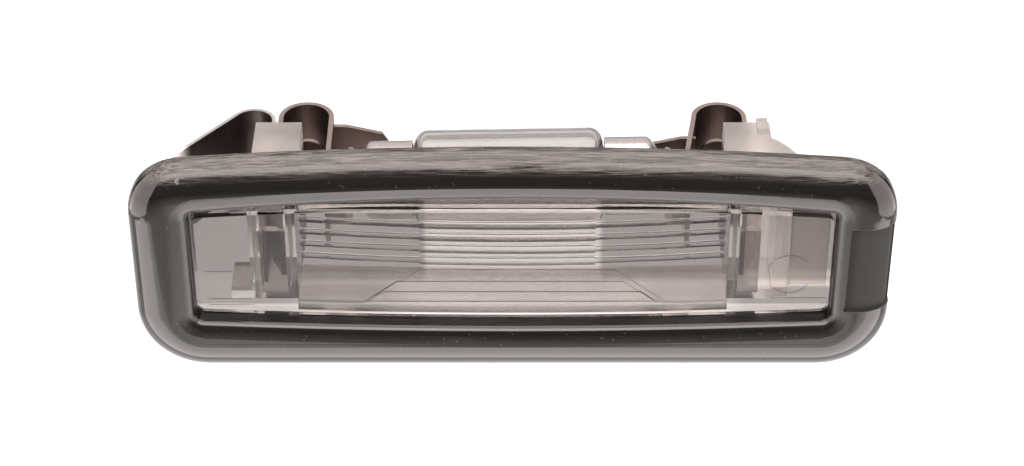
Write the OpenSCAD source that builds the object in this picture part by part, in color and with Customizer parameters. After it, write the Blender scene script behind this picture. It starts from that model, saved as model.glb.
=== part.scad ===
// Number plate lamp: a moulded frame, a clear lens that carries two bent contacts,
// a sheet spring clip and a festoon bulb.
// Millimetres. +X right along the lamp, the lens faces -Y, +Z up.
// The origin lies in the plane that seats on the car's panel, half-way along the lamp and
// 0.18 mm above the middle of its two ends.

/* [Frame] */
// overall width of the frame
frame_w = 83.4; // [83:0.1:85]
// height of the frame at its two ends
frame_h = 26.6; // [26.2:0.1:27]
// how far the middle of the top edge stands above its ends
top_bow = 1.8; // [1.5:0.1:2.2]
// radius of the frame's two lower corners
corner_r = 7.6; // [7.2:0.1:8]
// radius of the frame's two upper corners
upper_r = 6.5; // [6.3:0.1:7.2]
// height of the frame's crest above the panel
crest_h = 3.4; // [3.2:0.1:3.6]
// depth of the shallow finger recess across the right side
recess_d = 0.35; // [0.2:0.05:0.5]

/* [Lens] */
// width of the opening in the frame
open_w = 70.4; // [70:0.1:71]
// bow of the opening's upper edge
open_top_bow = 1.9; // [1.5:0.1:2.1]
// bow of the opening's lower edge
open_low_bow = 0.9; // [0.8:0.1:1.3]
// thickness of the lens plate behind the frame's lip
lens_t = 1.8; // [1.6:0.1:2]
// how far the two contact pockets reach back
pocket_y = 15.1; // [14.8:0.1:15.3]

/* [Contacts] */
// thickness of the contact strip
strip_t = 0.55; // [0.45:0.05:0.6]
// half height of the contact strip
strip_hz = 4.5; // [4:0.1:4.6]
// rear end of the two loops
loop_y = 24.9; // [24.4:0.1:25]

/* [Clip] */
// thickness of the spring clip's sheet
clip_t = 0.4; // [0.3:0.05:0.5]
// half height of the spring clip
clip_hz = 5; // [4.5:0.1:5]

/* [Bulb] */
// length of the festoon bulb over its two caps
bulb_l = 36; // [35.8:0.1:36]
// diameter of the bulb's glass
glass_d = 10.6; // [10.3:0.1:10.8]
// diameter of the bulb's caps
cap_d = 8.3; // [8:0.1:8.4]
// depth of the bulb's axis behind the panel plane
bulb_y = 14.2; // [14:0.1:14.4]
// height of the bulb's axis
bulb_z = 1.5; // [1.2:0.1:1.6]
// how far the bulb sits to the left of the middle
bulb_shift = 0.4; // [0.3:0.1:0.6]
// small tilt of the bulb, its left end lower
bulb_tilt = 1.2; // [0:0.1:1.8]

/* [Hidden] */
$fn = 64;

hw = frame_w/2;
zmid = -0.18;                      // half-way up the frame's two ends
zlow = zmid - frame_h/2;           // straight lower edge
zhigh = zmid + frame_h/2 + top_bow; // middle of the bowed upper edge
lip_h = 0.25;                      // underside of the lip that the lens sits against
wall_s = 4.4;                      // inner wall of the frame's collar, from the outline
ohw = open_w/2;
ozlow = -7.4;                      // middle of the opening's lower edge
ozhigh = 9.9;                      // middle of the opening's upper edge
pad_h = 1.05;                      // how far the lens's raised pad stands in the opening
pad_zhigh = 7.5;                   // middle of the pad's upper edge
pad_bow = 1.3;                     // and its bow
open_r = 0.9;                      // opening's corner radius

// radius of an arc of the given bow over the half width w
function bow_r(w, b) = (w*w + b*b)/(2*b);

// stands a piece drawn in the face plane upright: local z is the height towards the viewer
module in_face() rotate([90, 0, 0]) children();

hair = 0.01; // how much a corner stays inside the edges it meets

// ---- a contour with straight sides, four corner arcs and bowed or straight ends ----
// r and ru are the lower and upper corner radii, e the offset inward from the reference contour
module contour(w, zb, zt, sb, st, r, ru, e) {
  rt = bow_r(w, st);
  zct = zt - rt;
  cz = zct + sqrt(pow(rt - ru, 2) - pow(w - ru, 2));
  bt = asin((w - ru)/(rt - ru));
  rb = sb > 0 ? bow_r(w, sb) : 0;
  zcb = zb + rb;
  bz = sb > 0 ? zcb - sqrt(pow(rb - r, 2) - pow(w - r, 2)) : zb + r;
  bb = sb > 0 ? asin((w - r)/(rb - r)) : 0;
  kt = ru + st + 2;
  kb = r + sb + 2;
  translate([-(w - e), bz]) square([2*(w - e), cz - bz]);
  for (s = [-1, 1]) {
    translate([s*(w - ru), cz]) circle(ru - e - hair);
    translate([s*(w - r), bz]) circle(r - e - hair);
  }
  intersection() {
    translate([0, zct]) circle(rt - e, $fn = 720);
    polygon([[-(w - ru), cz - 0.4], [-(w - ru), cz], [-(w - ru) - kt*sin(bt), cz + kt*cos(bt)],
             [(w - ru) + kt*sin(bt), cz + kt*cos(bt)], [w - ru, cz], [w - ru, cz - 0.4]]);
  }
  if (sb > 0)
    intersection() {
      translate([0, zcb]) circle(rb - e, $fn = 720);
      polygon([[-(w - r), bz + 0.4], [-(w - r), bz], [-(w - r) - kb*sin(bb), bz - kb*cos(bb)],
               [(w - r) + kb*sin(bb), bz - kb*cos(bb)], [w - r, bz], [w - r, bz + 0.4]]);
    }
  else
    translate([-(w - r), zb + e]) square([2*(w - r), r - e + 0.4]);
}

// a section (x outward from the contour, y height) carried round the same contour:
// child 0 along the edges and sides, child 1, a hair smaller, round the corners
lap = 1.5; // how far each corner's turn runs on into its neighbours, in degrees
module round_contour(w, zb, zt, sb, st, r, ru) {
  rt = bow_r(w, st);
  zct = zt - rt;
  cz = zct + sqrt(pow(rt - ru, 2) - pow(w - ru, 2));
  bt = asin((w - ru)/(rt - ru));
  rb = sb > 0 ? bow_r(w, sb) : 0;
  zcb = zb + rb;
  bz = sb > 0 ? zcb - sqrt(pow(rb - r, 2) - pow(w - r, 2)) : zb + r;
  bb = sb > 0 ? asin((w - r)/(rb - r)) : 0;
  // upper edge
  translate([0, zct, 0]) rotate([0, 0, 90 - bt])
    rotate_extrude(angle = 2*bt, $fn = 2000) translate([rt, 0]) children(0);
  // lower edge
  if (sb > 0)
    translate([0, zcb, 0]) rotate([0, 0, -90 - bb])
      rotate_extrude(angle = 2*bb, $fn = 2000) translate([rb, 0]) children(0);
  else
    translate([-(w - r), zb, 0]) rotate([90, 0, 90]) linear_extrude(2*(w - r))
      mirror([1, 0]) children(0);
  // corners and sides
  for (m = [0, 1]) mirror([m, 0, 0]) {
    translate([w - ru, cz, 0]) rotate([0, 0, -lap])
      rotate_extrude(angle = 90 - bt + 2*lap) translate([ru, 0]) children(1);
    translate([w - r, bz, 0]) rotate([0, 0, -90 + bb - lap])
      rotate_extrude(angle = 90 - bb + 2*lap) translate([r, 0]) children(1);
    translate([w, cz, 0]) rotate([90, 0, 0]) linear_extrude(cz - bz) children(0);
  }
}

// ---- frame ----
crown_r = 4.6;
edge_r = 1.8;
crown_s = 3.7;                                  // crest, from the outline
crown_c = crest_h - crown_r;
edge_c = crown_c + sqrt(pow(crown_r - edge_r, 2) - pow(crown_s - edge_r, 2));
crown_a = asin((crown_s - edge_r)/(crown_r - edge_r));

// half section of the frame from its outline to the crest, d lower for the recess
module frame_section(d = 0) {
  difference() {
    intersection() {
      translate([-crown_s - 0.45, 0]) square([crown_s + 0.45 - d, crest_h - d]);
      union() {
        translate([-crown_s, crown_c]) circle(crown_r - d);
        translate([-crown_s - 2, 0]) square([2, crest_h - d]);
      }
    }
    // rounded shoulder
    difference() {
      polygon([[-edge_r, edge_c], [-edge_r + 4*sin(crown_a), edge_c + 4*cos(crown_a)],
               [2, edge_c + 2], [2, edge_c]]);
      translate([-edge_r, edge_c]) circle(edge_r - d);
    }
  }
}

// the inner slope falls gently from the crest, then turns down into the opening
in_r = 5.5;
in_x = 2.3;
lip_r = 1.36;
in_a = asin((in_x - 0.85)/in_r);
in_c = [in_x, crest_h - 0.01 - in_r];
lip_c = in_c + (in_r - lip_r)*[-sin(in_a), cos(in_a)] + [0, 0.003];

// what the opening's inner slope takes away
module edge_section(d = 0) {
  translate([-d, d]) difference() {
    polygon([[-0.5, lip_c[1]], [lip_c[0], lip_c[1]], [in_x, lip_c[1] + 0.5],
             [in_x, crest_h + 1], [-0.5, crest_h + 1]]);
    translate(lip_c) circle(lip_r);
    intersection() {
      translate(in_c) circle(in_r);
      translate([0.86, 0]) square([4, crest_h + 1]);
    }
  }
}

module bezel_frame() color([0.05, 0.05, 0.05]) in_face() {
  difference() {
    union() {
      round_contour(hw, zlow, zhigh, 0, top_bow, corner_r, upper_r) {
        frame_section();
        frame_section(hair);
      }
      linear_extrude(crest_h - 2*hair)
        contour(hw, zlow, zhigh, 0, top_bow, corner_r, upper_r, crown_s + 0.25);
      // collar that enters the panel's cut-out and holds the lens
      translate([0, 0, -2.4]) linear_extrude(2.6)
        contour(hw, zlow, zhigh, 0, top_bow, corner_r, upper_r, wall_s - 1);
    }
    // opening
    translate([0, 0, -4]) linear_extrude(10)
      contour(ohw, ozlow, ozhigh, open_low_bow, open_top_bow, open_r, open_r, 0);
    round_contour(ohw, ozlow, ozhigh, open_low_bow, open_top_bow, open_r, open_r) {
      edge_section();
      edge_section(hair);
    }
    // pocket for the lens plate
    translate([0, 0, -4]) linear_extrude(4 + lip_h)
      contour(hw, zlow, zhigh, 0, top_bow, corner_r, upper_r, wall_s);
    // finger recess across the right side
    translate([hw, 6.2, 0]) rotate([90, 0, 0]) linear_extrude(11)
      difference() {
        translate([-5.2, 0.3]) square([7, 5]);
        frame_section(recess_d);
        translate([-6.2, -1]) square([6.2 - crown_s, crest_h + 1 - recess_d]);
      }
  }
}

// ---- lens ----
// a rounded rib that follows a bow, from xa to xb: z at the middle, w wide, d deep
module flute(xa, xb, z, b, w, d) {
  r = bow_r(23.4, b);
  a = asin(xa/r);
  q = (w*w/4 + d*d)/(2*d);
  translate([0, z + r, 0]) rotate([0, 0, -90 + a])
    rotate_extrude(angle = asin(xb/r) - a, $fn = 2000)
      translate([r, 0]) intersection() {
        translate([0, q - d]) circle(q, $fn = 32);
        translate([-w, -2*q]) square([2*w, 2*q + 0.02]);
      }
}

// a wall behind the plate that follows a bow: z its upper side at the middle, t thick
module bowed_wall(x, z, b, t, y) {
  r = bow_r(x, b);
  translate([0, 0, -y]) linear_extrude(y - lens_t + 0.3)
    intersection() {
      difference() {
        translate([0, z + r]) circle(r + t, $fn = 1440);
        translate([0, z + r]) circle(r, $fn = 1440);
      }
      translate([-x, z - t - 1]) square([2*x, t + b + 2]);
    }
}

module pocket(side) {
  // side -1 left, 1 right: a block with a slot for the contact's outer leg
  x0 = side < 0 ? -29.05 : 23.85;
  translate([x0, lens_t - 0.3, -5.9]) cube([5.2, pocket_y - lens_t + 0.3, 14]);
}

module slot(side) {
  x0 = side < 0 ? -27.9 : 25.0;
  translate([x0, 3.4, -clip_hz - 0.1]) cube([side < 0 ? 2.9 : 2.3, pocket_y, 2*clip_hz + 0.2]);
  // its front part is open below the guide block
  translate([x0, lens_t + 0.05, -clip_hz - 0.1]) cube([side < 0 ? 2.9 : 2.3, 2, clip_hz + 3.4]);
}

step_z = [-2.0, -3.65, -5.15, -6.55];     // upper edges of the stepped pad
step_l = [-10.4, -12.9, -14.4, -15.9];    // and where each ends
step_r = [11.4, 12.3, 14.3, 16.4];

module lens() color([0.8, 0.8, 0.8]) difference() {
  union() {
    in_face() {
      // plate
      translate([0, 0, -lens_t]) linear_extrude(lens_t + lip_h)
        contour(hw, zlow, zhigh, 0, top_bow, corner_r, upper_r, wall_s + 0.08);
      // raised pad in the opening
      translate([0, 0, -0.5]) linear_extrude(pad_h + 0.5)
        contour(ohw - 0.12, ozlow + 0.12, pad_zhigh, open_low_bow, pad_bow, open_r, open_r, 0);
      // flutes on the back of the plate
      for (i = [0:3]) translate([0, 0, -lens_t]) {
        flute(-10.2, 9.1, 4.05 - 1.6*i, 0.95, 1.25, 0.42);
        flute(-23.4, -10.15, 4.05 - 1.6*i, 0.95, 0.85, 0.24);
        flute(9.05, 23.4, 4.05 - 1.6*i, 0.95, 0.85, 0.24);
      }
      // stepped pad in the lower half
      for (i = [0:3])
        translate([0, 0, -lens_t - 0.13*(i + 1)]) linear_extrude(0.13*(i + 1) + 0.1)
          polygon([[step_l[i], step_z[i]], [step_r[i], step_z[i]],
                   [step_r[i] + 1.3*(step_z[i] + 7.2), -7.2], [step_l[i] - 1.3*(step_z[i] + 7.2), -7.2]]);
      // lower wall of the chamber
      bowed_wall(24, -6.85, 0.5, 1.1, 8.8);
    }
    // upper wall of the chamber, between the two pockets
    translate([-24, lens_t - 0.3, 5.72]) cube([48, 7.3, 1.0]);
    for (s = [-1, 1]) pocket(s);
    // raised tab on the right pocket
    translate([27.5, pocket_y - 2.5, 7]) cube([1.2, 2.2, 1.9]);
    // right fixed nose that hooks behind the panel
    translate([0, 0, -5.6]) linear_extrude(12)
      polygon([[28.6, lens_t - 0.3], [30.6, lens_t - 0.3], [30.6, lens_t + 2.2],
               [35.2, lens_t + 2.2], [35.2, 6.6], [32.1, 11.0], [31.4, 12.3],
               [30.6, 13.4], [29.8, 14.2], [29.2, 14.6], [28.6, 14.7]]);
    // ribs that brace the left pocket
    for (z = [-5.9, 5.6]) translate([-31.4, lens_t - 0.3, z]) cube([3, 5.5, 1.2]);
    // flat marks of the moulding tool on the two ends
    in_face() {
      translate([30.5, -1.4, pad_h]) rotate_extrude() translate([2.45, 0]) square([0.18, 0.08]);
      translate([-31.2, -3.1, pad_h]) difference() {
        translate([-2.7, -2.6]) cube([5.4, 4.8, 0.08]);
        translate([-2.5, -2.4, -1]) cube([5.0, 4.4, 3]);
      }
      translate([28.8, -4.7, pad_h]) cube([5.9, 0.16, 0.07]);
      translate([-33.7, -4.8, pad_h]) cube([5.0, 0.16, 0.07]);
    }
  }
  for (s = [-1, 1]) slot(s);
  // notch for the clip's locking tongue
  translate([-28.5, 6.2, -1.5]) cube([1, 2.6, 3]);
}

// ---- bent strips, drawn in plan and extruded upward ----
module seg(a, b, t) {
  d = b - a;
  translate(a) rotate(atan2(d[1], d[0])) translate([0, -t/2]) square([norm(d), t]);
}
module path(p, t) {
  for (i = [0:len(p) - 2]) seg(p[i], p[i + 1], t);
  for (i = [1:len(p) - 2]) translate(p[i]) circle(t/2);
}
// half ring open towards -Y
module bend(c, r, t) intersection() {
  translate(c) difference() { circle(r + t/2); circle(r - t/2); }
  translate([c[0] - r - t, c[1]]) square([2*(r + t), r + t]);
}

clip_x = -27.58;                    // centre line of the clip's inner leg
clip_r = 2.4;                      // centre line radius of its bend
clip_a = 52.5;                       // slope of its ramp
clip_c = [clip_x - clip_r, 20.15];  // centre of the bend

module spring_clip() color([0.55, 0.55, 0.55]) {
  foot = clip_c + clip_r*[-sin(clip_a), cos(clip_a)];     // where the ramp starts
  tip = foot - 13.2*[cos(clip_a), sin(clip_a)];
  translate([0, 0, -clip_hz]) linear_extrude(2*clip_hz) {
    seg([clip_x, 3.6], [clip_x, clip_c[1] + 0.05], clip_t);
    intersection() {
      translate(clip_c) difference() { circle(clip_r + clip_t/2); circle(clip_r - clip_t/2); }
      polygon([clip_c, clip_c + [8, 0], clip_c + [8, 8], clip_c + 8*[-sin(clip_a), cos(clip_a)]]);
    }
    seg(foot + 0.05*[cos(clip_a), sin(clip_a)], tip, clip_t);
    path([tip, tip + [0.1, -0.9], tip + [1.1, -2.2], tip + [4.2, -5.6]], clip_t);
    translate(tip) circle(clip_t/2);
  }
  // locking tongue pressed out of the inner leg
  translate([clip_x - 0.7, 6.4, -1.3]) cube([0.7, 2.2, 2.6]);
}

module contact(side, slant, blade_y, tongue_y) {
  lx = 23.95;                       // middle of the loop
  lr = 2.93;                        // centre line radius of the loop
  ly = loop_y - lr - strip_t/2;     // start of the loop
  leaf = 17.95 - side*bulb_shift;   // the leaf that holds the bulb's nose
  hole_z = bulb_z + side*17.95*sin(bulb_tilt);
  mirror([side < 0 ? 1 : 0, 0, 0]) difference() {
    union() {
      translate([0, 0, -strip_hz]) linear_extrude(2*strip_hz) {
        // front hook and outer leg in the pocket
        path([[25.6, 4.3], [26.1, 5.6], [lx + lr, 7.2], [lx + lr, ly]], strip_t);
        bend([lx, ly], lr, strip_t);
        // inner leg, which leans towards the bulb
        path([[lx - lr, ly], [lx - lr - slant, 14.4], [lx - lr - slant, 10.4]], strip_t);
        translate([lx + lr, ly]) circle(strip_t/2);
        translate([lx - lr, ly]) circle(strip_t/2);
      }
      // narrower leaf that turns back and holds the bulb's nose
      translate([0, 0, bulb_z - 2.4]) linear_extrude(4.6)
        path([[lx - lr - slant, 10.8], [lx - lr - slant, 10.4], [lx - lr - slant - 0.5, 9.7],
              [leaf + 0.6, 9.7], [leaf, 10.5], [leaf, 16.0], [leaf + 0.3, 16.6]], strip_t);
      // terminal blade bent out of the inner leg
      translate([0, blade_y + strip_t/2, 0]) rotate([90, 0, 0]) linear_extrude(strip_t)
        polygon([[lx - lr + 0.1, -3.6], [lx - lr + 0.1, 3.65], [19.4, 3.65], [15.2, 2.65],
                 [14.45, 1.4], [14.45, -1.4], [15.2, -2.65], [19.4, -3.6]]);
      // stop tongue with a rounded top, bent out of the outer leg
      translate([0, tongue_y + strip_t/2, 0]) rotate([90, 0, 0]) linear_extrude(strip_t) {
        translate([23.4, 2.6]) circle(1.9);
        translate([21.9, -2.6]) square([lx + lr - 21.9, 4.6]);
        translate([21.5, 1]) square([3.8, 1.6]);
      }
    }
    // seat of the bulb's nose
    translate([16, bulb_y, hole_z]) rotate([0, 90, 0]) cylinder(r = 1.75, h = 3);
  }
}
module contact_left() color([0.5, 0.4, 0.33]) contact(-1, 0, 21.2, 16.9);
module contact_right() color([0.5, 0.4, 0.33]) contact(1, 1.15, 18.7, 16.9);

// ---- bulb, turned about its own axis ----
module on_bulb() translate([-bulb_shift, bulb_y, bulb_z]) rotate([0, -bulb_tilt, 0]) children();
module turned(side = 1) on_bulb() mirror([side < 0 ? 1 : 0, 0, 0]) rotate([0, 90, 0]) children();

gr = glass_d/2;
cr = cap_d/2;
gw = 0.55;                          // glass wall
gx = 10.75;                         // end of the full glass cylinder
cap_x = 10.95;                      // mouth of the cap
nose_x = bulb_l/2;

// outline of the glass, e smaller, with rounded shoulders and a neck inside the cap
module glass_outline(e) {
  square([gr - e, gx - 1.6]);
  intersection() {
    translate([gr - 1.6, gx - 1.6]) circle(1.6 - e);
    square([gr, gx]);
  }
  square([gr - 1.6, gx - e]);
  square([cr - 1.0 - e, 14.6 - 1.2*e]);
}
module bulb_glass() color([0.9, 0.9, 0.9]) on_bulb() rotate([0, 90, 0]) {
  difference() {
    rotate_extrude() for (m = [0, 1]) mirror([0, m]) glass_outline(0);
    rotate_extrude() for (m = [0, 1]) mirror([0, m]) glass_outline(gw);
    translate([0, 0, -20]) cylinder(r = 0.2, h = 40);
  }
}
module cap(side) turned(side) difference() {
  rotate_extrude() polygon([[0, cap_x], [cr, cap_x], [cr, 15.7], [cr - 0.1, 15.95], [cr - 0.3, 16.2],
                            [2.1, 17.5], [1.6, 17.6], [1.6, nose_x], [0, nose_x]]);
  rotate_extrude() polygon([[0, cap_x - 1], [cr - 0.35, cap_x - 1], [cr - 0.35, 15.6], [1.75, 17.15], [0, 17.15]]);
  cylinder(r = 0.45, h = 30);
}
module bulb_cap_left() color([0.75, 0.72, 0.68]) cap(-1);
module bulb_cap_right() color([0.75, 0.72, 0.68]) cap(1);
module cement(side) turned(side) difference() {
  translate([0, 0, 12.0]) cylinder(r = cr - 0.37, h = 2.5);
  translate([0, 0, 11]) cylinder(r = cr - 0.98, h = 5);
}
module bulb_cement_left() color([0.7, 0.68, 0.6]) cement(-1);
module bulb_cement_right() color([0.7, 0.68, 0.6]) cement(1);
module solder(side) turned(side) {
  translate([0, 0, nose_x]) intersection() {
    translate([0, 0, -0.85]) sphere(r = 1.25);
    cylinder(r = 2, h = 1);
  }
  translate([0, 0, 17.3]) cylinder(r = 0.43, h = nose_x - 17.3 + 0.1);
}
module bulb_solder_left() color([0.7, 0.7, 0.7]) solder(-1);
module bulb_solder_right() color([0.7, 0.7, 0.7]) solder(1);
module lead(side) turned(side) {
  translate([0, 0, 6.2]) cylinder(r = 0.18, h = 17.3 - 6.2);
  sphere_z = 6.2;
  translate([0, 0, sphere_z]) sphere(r = 0.3);
}
module bulb_lead_left() color([0.6, 0.6, 0.6]) lead(-1);
module bulb_lead_right() color([0.6, 0.6, 0.6]) lead(1);
module bulb_filament() color([0.4, 0.4, 0.4]) on_bulb() rotate([0, 90, 0])
  translate([0, 0, -5.9]) cylinder(r = 0.3, h = 11.8);

bezel_frame();
lens();
spring_clip();
contact_left();
contact_right();
bulb_glass();
bulb_cap_left();
bulb_cap_right();
bulb_cement_left();
bulb_cement_right();
bulb_solder_left();
bulb_solder_right();
bulb_lead_left();
bulb_lead_right();
bulb_filament();
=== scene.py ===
import bpy, bmesh, math
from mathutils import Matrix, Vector


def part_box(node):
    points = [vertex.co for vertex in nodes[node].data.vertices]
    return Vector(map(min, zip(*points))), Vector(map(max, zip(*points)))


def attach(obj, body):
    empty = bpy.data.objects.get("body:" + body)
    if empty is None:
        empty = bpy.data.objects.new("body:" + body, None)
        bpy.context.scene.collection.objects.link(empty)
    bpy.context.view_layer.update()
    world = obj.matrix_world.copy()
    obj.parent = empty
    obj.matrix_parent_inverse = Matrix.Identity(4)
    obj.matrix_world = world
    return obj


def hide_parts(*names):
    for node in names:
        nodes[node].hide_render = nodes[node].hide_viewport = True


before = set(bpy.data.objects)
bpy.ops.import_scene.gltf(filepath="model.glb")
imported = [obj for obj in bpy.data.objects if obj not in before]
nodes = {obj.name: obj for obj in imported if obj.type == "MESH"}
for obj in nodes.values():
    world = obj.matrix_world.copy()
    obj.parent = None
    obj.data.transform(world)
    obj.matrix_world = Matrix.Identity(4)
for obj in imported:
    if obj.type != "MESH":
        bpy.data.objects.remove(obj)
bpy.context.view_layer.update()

scene = bpy.context.scene
MM = 0.001


# ---------------------------------------------------------------- node helpers
class Mat:
    """A small builder for a procedural material."""

    def __init__(self, name):
        self.m = bpy.data.materials.new(name)
        self.m.use_nodes = True
        self.t = self.m.node_tree
        self.t.nodes.clear()
        self.out = self.t.nodes.new("ShaderNodeOutputMaterial")
        self.p = self.t.nodes.new("ShaderNodeBsdfPrincipled")
        self.t.links.new(self.p.outputs[0], self.out.inputs["Surface"])
        self.obj = self.t.nodes.new("ShaderNodeTexCoord").outputs["Object"]
        sep = self.t.nodes.new("ShaderNodeSeparateXYZ")
        self.link(self.obj, sep.inputs[0])
        self.x, self.y, self.z = sep.outputs
        geo = self.t.nodes.new("ShaderNodeNewGeometry")
        sn = self.t.nodes.new("ShaderNodeSeparateXYZ")
        self.link(geo.outputs["Normal"], sn.inputs[0])
        self.nx, self.ny, self.nz = sn.outputs
        self.bumps = None

    def link(self, a, b):
        self.t.links.new(a, b)

    def put(self, sock, v):
        if hasattr(v, "node"):
            self.link(v, sock)
        else:
            sock.default_value = v

    def noise(self, scale=(1, 1, 1), detail=3.0, rough=0.55, off=(0, 0, 0), dist=0.0):
        mp = self.t.nodes.new("ShaderNodeMapping")
        mp.inputs["Scale"].default_value = scale
        mp.inputs["Location"].default_value = off
        self.link(self.obj, mp.inputs[0])
        n = self.t.nodes.new("ShaderNodeTexNoise")
        n.inputs["Scale"].default_value = 1.0
        n.inputs["Detail"].default_value = detail
        n.inputs["Roughness"].default_value = rough
        n.inputs["Distortion"].default_value = dist
        self.link(mp.outputs[0], n.inputs["Vector"])
        return n.outputs["Fac"]

    def math(self, op, a, b=0.0, c=0.0):
        n = self.t.nodes.new("ShaderNodeMath")
        n.operation = op
        self.put(n.inputs[0], a)
        self.put(n.inputs[1], b)
        self.put(n.inputs[2], c)
        return n.outputs[0]

    def remap(self, v, a, b, lo=0.0, hi=1.0, smooth=True):
        n = self.t.nodes.new("ShaderNodeMapRange")
        n.interpolation_type = "SMOOTHSTEP" if smooth else "LINEAR"
        self.put(n.inputs["Value"], v)
        n.inputs["From Min"].default_value = a
        n.inputs["From Max"].default_value = b
        n.inputs["To Min"].default_value = lo
        n.inputs["To Max"].default_value = hi
        return n.outputs[0]

    def mix(self, f, a, b):
        n = self.t.nodes.new("ShaderNodeMix")
        n.data_type = "RGBA"
        self.put(n.inputs["Factor"], f)
        for s, v in ((n.inputs[6], a), (n.inputs[7], b)):
            if hasattr(v, "node"):
                self.link(v, s)
            else:
                s.default_value = (v[0], v[1], v[2], 1)
        return n.outputs[2]

    def bump(self, height, strength, dist):
        n = self.t.nodes.new("ShaderNodeBump")
        self.put(n.inputs["Strength"], strength)
        n.inputs["Distance"].default_value = dist
        self.link(height, n.inputs["Height"])
        if self.bumps is not None:
            self.link(self.bumps, n.inputs["Normal"])
        self.bumps = n.outputs[0]
        self.link(self.bumps, self.p.inputs["Normal"])

    def set(self, **kw):
        names = {"color": "Base Color", "rough": "Roughness", "metal": "Metallic", "ior": "IOR",
                 "trans": "Transmission Weight", "spec": "Specular IOR Level"}
        for k, v in kw.items():
            s = self.p.inputs[names[k]]
            if k == "color" and not hasattr(v, "node"):
                v = (v[0], v[1], v[2], 1)
            self.put(s, v)
        return self.m


# ---------------------------------------------------------------- materials
def frame_black():
    m = Mat("frame_black_gloss")
    # the upper outer slope is scuffed along its length
    bow = m.math("MULTIPLY_ADD", m.math("MULTIPLY", m.x, m.x), -1.8*MM/(41.7*MM)**2, 14.92*MM)
    depth = m.math("SUBTRACT", bow, m.z)
    top = m.remap(depth, 2.05*MM, 1.05*MM)
    fine = m.noise((260, 6200, 6200), 4, 0.66)
    coarse = m.noise((90, 1300, 1300), 3, 0.6, (3, 1, 2))
    scratch = m.remap(fine, 0.36, 0.70)
    patch = m.remap(coarse, 0.34, 0.60)
    worn = m.math("MULTIPLY", top, m.math("MULTIPLY_ADD", patch, 0.55, 0.45))
    # the finger recess is matte and finely grained
    inz = m.math("MULTIPLY", m.remap(m.z, -4.95*MM, -4.7*MM), m.remap(m.z, 6.35*MM, 6.05*MM))
    rec = m.math("MULTIPLY", inz, m.remap(m.x, 36.55*MM, 36.75*MM))
    dtop = m.math("SUBTRACT", m.z, m.math("MULTIPLY_ADD", m.math("MULTIPLY", m.x, m.x), -1.9*MM/(35.2*MM)**2, 9.9*MM))
    dside = m.math("SUBTRACT", m.math("ABSOLUTE", m.x), 35.2*MM)
    near = m.math("MAXIMUM", m.math("MULTIPLY", dtop, 1/(1.5*MM)), m.math("MULTIPLY", dside, 1/(1.6*MM)))
    inner = m.math("MULTIPLY", m.remap(near, 1.75, 0.8), m.remap(m.z, -8.5*MM, -5.5*MM))
    grain = m.noise((5200, 5200, 5200), 2, 0.5)
    soft = m.noise((260, 260, 260), 3, 0.5, (7, 2, 5))
    dust = m.remap(m.noise((2300, 2300, 2300), 1, 0.5, (1, 9, 4)), 0.70, 0.78)
    c = m.mix(soft, (0.0032, 0.0028, 0.0026), (0.0055, 0.0049, 0.0046))
    c = m.mix(m.math("MULTIPLY", worn, m.math("MULTIPLY", scratch, 0.9)), c, (0.098, 0.083, 0.076))
    c = m.mix(m.math("MULTIPLY", dust, 0.10), c, (0.25, 0.24, 0.23))
    c = m.mix(rec, c, m.mix(grain, (0.003, 0.0026, 0.0024), (0.009, 0.0079, 0.0073)))
    r = m.math("MULTIPLY_ADD", soft, 0.05, 0.05)
    r = m.math("ADD", r, m.math("MULTIPLY", worn, m.math("MULTIPLY_ADD", scratch, 0.22, 0.16)))
    r = m.math("ADD", r, m.math("MULTIPLY", rec, m.math("MULTIPLY_ADD", grain, 0.12, 0.74)))
    r = m.math("ADD", r, m.math("MULTIPLY", inner, 0.24))
    m.bump(fine, m.math("MULTIPLY", worn, 0.22), 0.00004)
    m.bump(grain, m.math("MULTIPLY", rec, 0.5), 0.00006)
    m.bump(soft, 0.03, 0.0002)
    return m.set(color=c, rough=r, spec=0.5, ior=1.5)


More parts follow.
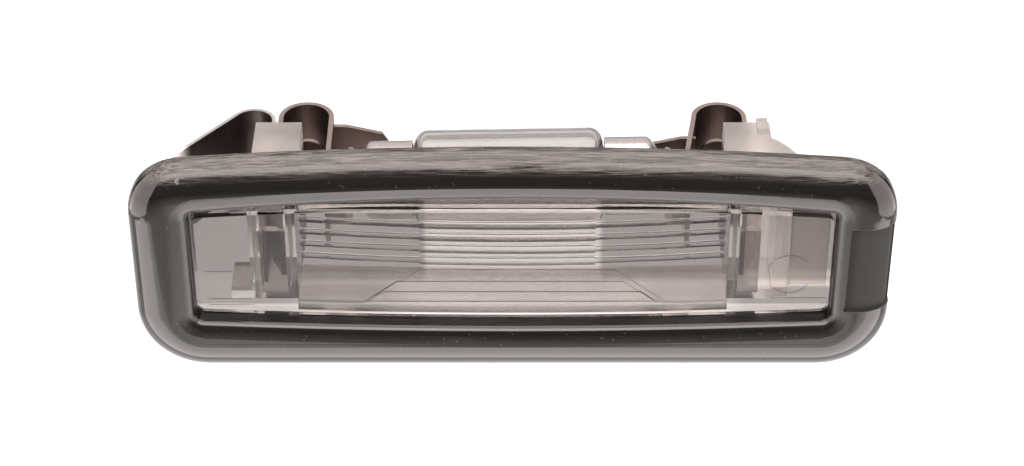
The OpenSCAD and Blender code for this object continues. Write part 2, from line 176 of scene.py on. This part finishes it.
def lens_clear():
    m = Mat("lens_clear_moulded")
    back = m.remap(m.y, 1.9*MM, 2.6*MM)
    posts = m.remap(m.y, 6.0*MM, 9.5*MM)
    ends = m.remap(m.math("ABSOLUTE", m.x), 22.5*MM, 26.5*MM)
    flow = m.noise((90, 260, 320), 3, 0.5)
    fine = m.noise((900, 900, 900), 3, 0.5, (2, 5, 1))
    cloud = m.noise((420, 300, 190), 3, 0.55, (5, 2, 8))
    c = m.mix(flow, (0.385, 0.360, 0.346), (0.425, 0.398, 0.384))
    # painted shade: the clear lens is painted darker over its lower left
    low = m.math("MULTIPLY", m.remap(m.x, -10.5*MM, -15.0*MM), m.remap(m.z, -2.4*MM, -3.0*MM))
    c = m.mix(low, c, m.mix(flow, (0.27, 0.252, 0.242), (0.31, 0.290, 0.279)))
    # painted shade: the clear lens is painted darker over both ends, in front of the pockets
    c = m.mix(ends, c, m.mix(flow, (0.225, 0.206, 0.197), (0.265, 0.244, 0.234)))
    # painted light: over its upper right end the lens is painted lighter, lifting the shaded contact seen behind it
    c = m.mix(m.math("MULTIPLY", m.remap(m.x, 25.5*MM, 26.5*MM), m.remap(m.z, -3.4*MM, -2.6*MM)), c, m.mix(flow, (0.50, 0.468, 0.45), (0.56, 0.525, 0.505)))
    # painted light: at the far right the upper lens is painted near-white over the shaded contact behind it
    painted_light_patch = m.math("MULTIPLY", m.remap(m.x, 30.3*MM, 30.7*MM), m.remap(m.z, -3.0*MM, -2.6*MM))
    c = m.mix(painted_light_patch, c, m.mix(flow, (0.76, 0.71, 0.685), (0.82, 0.77, 0.745)))
    c = m.mix(back, c, m.mix(fine, (0.62, 0.58, 0.558), (0.72, 0.678, 0.652)))
    # painted shade: the lower front of the lens beyond the bulb glass, out to both ends, is painted dark
    side = m.math("MULTIPLY", m.remap(m.math("ABSOLUTE", m.x), 9.3*MM, 10.1*MM), m.remap(m.z, -2.6*MM, -1.6*MM))
    side = m.math("MULTIPLY", side, m.remap(m.y, 2.9*MM, 2.5*MM))
    c = m.mix(side, c, m.mix(flow, (0.185, 0.169, 0.162), (0.225, 0.207, 0.199)))
    # painted light: the lens is painted near-white along its bottom edge, a lit strip over the window's lower edge
    c = m.mix(m.remap(m.z, -6.5*MM, -6.8*MM), c, m.mix(flow, (0.78, 0.74, 0.72), (0.86, 0.82, 0.80)))
    c = m.mix(posts, c, m.mix(cloud, (0.40, 0.37, 0.355), (0.56, 0.525, 0.505)))
    r = m.math("MULTIPLY_ADD", fine, 0.05, 0.015)
    r = m.math("ADD", r, m.math("MULTIPLY", back, m.math("MULTIPLY_ADD", fine, 0.10, 0.03)))
    r = m.math("ADD", r, m.math("MULTIPLY", posts, m.math("MULTIPLY_ADD", cloud, 0.25, 0.26)))
    nose = m.math("MULTIPLY", m.remap(m.x, 27.4*MM, 27.8*MM), m.remap(m.y, 4.2*MM, 5.2*MM))
    r = m.math("MAXIMUM", r, m.math("MULTIPLY", nose, m.math("MULTIPLY_ADD", cloud, 0.20, 0.50)))
    m.bump(flow, 0.02, 0.0003)
    m.bump(fine, 0.03, 0.00006)
    m.bump(cloud, m.math("MULTIPLY", posts, 0.25), 0.0002)
    # painted light: near the front face the painted patch also lets less light through, so it shows light
    painted_light_patch = m.math("MULTIPLY", painted_light_patch, m.remap(m.y, 1.0*MM, 0.5*MM))
    return m.set(color=c, rough=r, trans=m.math("MULTIPLY_ADD", painted_light_patch, -0.20, 1.0), ior=1.5)


def clip_steel():
    m = Mat("clip_spring_steel")
    roll = m.noise((2600, 2600, 90), 4, 0.6)
    blot = m.noise((330, 330, 330), 3, 0.55, (4, 4, 1))
    cut = m.remap(m.math("ABSOLUTE", m.nz), 0.6, 0.9)
    c = m.mix(roll, (0.050, 0.041, 0.038), (0.085, 0.071, 0.066))
    c = m.mix(m.remap(blot, 0.5, 0.7, 0, 0.5), c, (0.032, 0.026, 0.024))
    c = m.mix(cut, c, m.mix(roll, (0.24, 0.230, 0.221), (0.31, 0.300, 0.289)))
    # painted light: in front of y = 13 mm, inside the shaded pocket, the clip is painted near-white
    c = m.mix(m.remap(m.y, 15.2*MM, 13.0*MM), c, m.mix(roll, (0.80, 0.765, 0.745), (0.88, 0.85, 0.83)))
    r = m.math("MULTIPLY_ADD", roll, 0.20, 0.28)
    m.bump(roll, 0.12, 0.00005)
    # painted light: inside the shaded pocket the clip is also made mostly non-metal, so the painted near-white shows
    return m.set(color=c, rough=r, metal=m.remap(m.y, 13.0*MM, 15.2*MM, 0.2, 1.0))


def contact_bronze():
    m = Mat("contact_dull_bronze")
    roll = m.noise((2400, 2400, 110), 4, 0.6)
    blot = m.noise((420, 420, 420), 4, 0.6, (2, 8, 3))
    cut = m.remap(m.math("ABSOLUTE", m.nz), 0.6, 0.9)
    c = m.mix(blot, (0.046, 0.032, 0.028), (0.080, 0.058, 0.052))
    c = m.mix(m.remap(roll, 0.55, 0.72, 0, 0.5), c, (0.034, 0.024, 0.021))
    c = m.mix(cut, c, m.mix(blot, (0.135, 0.110, 0.102), (0.19, 0.158, 0.147)))
    # painted light: in front of y = 13 mm, inside the shaded pocket, the contact is painted near-white
    c = m.mix(m.remap(m.y, 15.2*MM, 13.0*MM), c, m.mix(blot, (0.80, 0.75, 0.73), (0.88, 0.84, 0.82)))
    r = m.math("MULTIPLY_ADD", blot, 0.22, 0.30)
    m.bump(roll, 0.10, 0.00005)
    # painted light: inside the shaded pocket the contact is also made mostly non-metal, so the painted near-white
    # shows
    return m.set(color=c, rough=r, metal=m.remap(m.y, 13.0*MM, 15.2*MM, 0.2, 1.0))


def bulb_glass():
    m = Mat("bulb_clear_glass")
    wave = m.noise((160, 300, 300), 2, 0.5)
    c = m.mix(wave, (0.55, 0.535, 0.525), (0.60, 0.585, 0.575))
    r = m.math("MULTIPLY_ADD", wave, 0.02, 0.0)
    m.bump(wave, 0.08, 0.0003)
    return m.set(color=c, rough=r, trans=1.0, ior=1.48)


def cap_metal():
    m = Mat("cap_nickel_plated")
    blot = m.noise((500, 500, 500), 4, 0.6, (6, 1, 1))
    ring = m.noise((1900, 900, 900), 3, 0.6)
    c = m.mix(blot, (0.385, 0.360, 0.340), (0.470, 0.449, 0.428))
    r = m.math("MULTIPLY_ADD", ring, 0.16, 0.20)
    m.bump(ring, 0.10, 0.00005)
    return m.set(color=c, rough=r, metal=1.0)


def plain(name, a, b, scale, rough, metal=0.0, bump=0.15, dist=0.0001):
    m = Mat(name)
    n = m.noise((scale, scale, scale), 4, 0.6)
    m.bump(n, bump, dist)
    return m.set(color=m.mix(n, a, b), rough=m.math("MULTIPLY_ADD", n, 0.2, rough - 0.1), metal=metal)


MATS = {
    "bezel_frame": frame_black(),
    "lens": lens_clear(),
    "spring_clip": clip_steel(),
    "contact": contact_bronze(),
    "bulb_glass": bulb_glass(),
    "bulb_cap": cap_metal(),
    "bulb_cement": plain("bulb_cement_beige", (0.52, 0.49, 0.42), (0.68, 0.65, 0.58), 2500, 0.8, 0, 0.5, 0.0002),
    "bulb_solder": plain("bulb_solder_grey", (0.48, 0.47, 0.46), (0.66, 0.65, 0.63), 1500, 0.38, 1.0, 0.4, 0.0002),
    "bulb_lead": plain("bulb_lead_wire", (0.45, 0.42, 0.40), (0.60, 0.57, 0.54), 1900, 0.35, 1.0),
}
tungsten = plain("filament_tungsten", (0.20, 0.195, 0.19), (0.32, 0.31, 0.30), 6000, 0.42, 1.0)

for name, o in nodes.items():
    key = next((k for k in MATS if name.startswith(k)), None)
    if key is None:
        continue
    if not o.data.materials:
        o.data.materials.append(MATS[key])
    for i in range(len(o.data.materials)):
        o.data.materials[i] = MATS[key]


# ---------------------------------------------------------------- the coiled filament
def tube(bm, pts, rad, sides):
    """A closed tube along pts, with flat ends."""
    rings = []
    up = None
    for i, p in enumerate(pts):
        t = (pts[min(i + 1, len(pts) - 1)] - pts[max(i - 1, 0)]).normalized()
        if up is None:
            up = t.orthogonal().normalized()
        up = (up - t * up.dot(t)).normalized()
        side = t.cross(up)
        rings.append([bm.verts.new(p + rad * (math.cos(a) * up + math.sin(a) * side))
                      for a in (2 * math.pi * k / sides for k in range(sides))])
    for a, b in zip(rings, rings[1:]):
        for k in range(sides):
            bm.faces.new((a[k], a[(k + 1) % sides], b[(k + 1) % sides], b[k]))
    bm.faces.new(rings[0][::-1])
    bm.faces.new(rings[-1])


def filament_coil():
    lo, hi = (Vector(c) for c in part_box("bulb_filament"))
    mid = (lo + hi) / 2
    tilt = math.radians(1.2)
    ax = Vector((math.cos(tilt), 0, math.sin(tilt)))
    up = Vector((-math.sin(tilt), 0, math.cos(tilt)))
    fw = Vector((0, 1, 0))
    half = (hi.x - lo.x) / 2 - 0.00012
    turns, per = 46, 12
    coil = 0.6 * 2 * half / 2
    pts = []
    n = turns * per
    for i in range(n + 1):
        a = 2 * math.pi * i / per
        x = -coil + 2 * coil * i / n
        pts.append(mid + ax * x + 0.00020 * (math.cos(a) * up + math.sin(a) * fw))
    # straight legs from the coil's two ends to the lead wires
    start = [mid - ax * half, mid - ax * (coil + 0.0004)]
    end = [mid + ax * (coil + 0.0004), mid + ax * half]
    bm = bmesh.new()
    tube(bm, start + pts + end, 0.000055, 6)
    bmesh.ops.recalc_face_normals(bm, faces=bm.faces[:])
    me = bpy.data.meshes.new("filament_coil")
    bm.to_mesh(me)
    bm.free()
    for p in me.polygons:
        p.use_smooth = True
    o = bpy.data.objects.new("filament_coil", me)
    scene.collection.objects.link(o)
    me.materials.append(tungsten)
    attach(o, "root")
    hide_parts("bulb_filament")


filament_coil()


# ---------------------------------------------------------------- floor, light, camera
def floor_mat():
    m = Mat("studio_floor")
    n = m.noise((3, 3, 3), 2, 0.5)
    return m.set(color=m.mix(n, (0.565, 0.590, 0.605), (0.585, 0.610, 0.625)), rough=0.9, spec=0.0)


bm = bmesh.new()
bmesh.ops.create_grid(bm, x_segments=8, y_segments=8, size=4.0)
me = bpy.data.meshes.new("studio_floor")
bm.to_mesh(me)
bm.free()
floor = bpy.data.objects.new("studio_floor", me)
floor.location = (0, 0, -0.40)
scene.collection.objects.link(floor)
me.materials.append(floor_mat())


def panel(name, at, look, size, radiance, color=(1.0, 0.925, 0.892)):
    """A soft rectangular light of the given radiance."""
    l = bpy.data.lights.new(name, "AREA")
    l.shape = "RECTANGLE"
    l.size, l.size_y = size
    l.energy = radiance * math.pi * size[0] * size[1]
    l.color = color
    o = bpy.data.objects.new(name, l)
    o.location = at
    o.rotation_euler = (Vector(look) - Vector(at)).to_track_quat("-Z", "Y").to_euler()
    scene.collection.objects.link(o)
    return o


panel("light_above", (0, 0.30, 0.95), (0, 0.30, 0), (1.9, 1.5), 4.5)
panel("light_front", (0, -0.55, 0.64), (0, 0, 0), (1.5, 0.36), 9.5, (1.0, 0.905, 0.865))
panel("light_back", (0, 1.15, 0.42), (0, 0, 0.42), (2.4, 0.95), 0.88)
panel("light_left", (-0.55, -0.10, 0.02), (0, 0, 0), (0.72, 0.66), 3.5, (1.0, 0.895, 0.850))
panel("light_right", (0.55, -0.10, 0.02), (0, 0, 0), (0.72, 0.66), 3.3, (1.0, 0.895, 0.850))
panel("light_below", (0, -0.101, -0.16), (0, -0.101, 0), (0.56, 0.140), 3.6, (1.0, 0.895, 0.850))
panel("light_below_edge", (0, -0.186, -0.162), (0, -0.186, 0), (0.44, 0.028), 1.6, (1.0, 0.895, 0.850))

world = bpy.data.worlds.new("studio")
world.use_nodes = True
bg = world.node_tree.nodes["Background"]
bg.inputs[0].default_value = (1.0, 0.96, 0.94, 1)
bg.inputs[1].default_value = 0.22
scene.world = world

cam = bpy.data.cameras.new("camera")
cam.sensor_fit = "HORIZONTAL"
cam.sensor_width = 36
cam.lens = 89.57
cam.clip_start = 0.01
camera = bpy.data.objects.new("camera", cam)
e, dist = math.radians(35.73), 278.89 * MM
target = Vector((-0.062, 0, 3.525)) * MM
camera.location = target + dist * Vector((0, -math.cos(e), math.sin(e)))
camera.rotation_euler = (math.pi / 2 - e, 0, 0)
scene.collection.objects.link(camera)
scene.camera = camera
scene.view_settings.view_transform = "Standard"
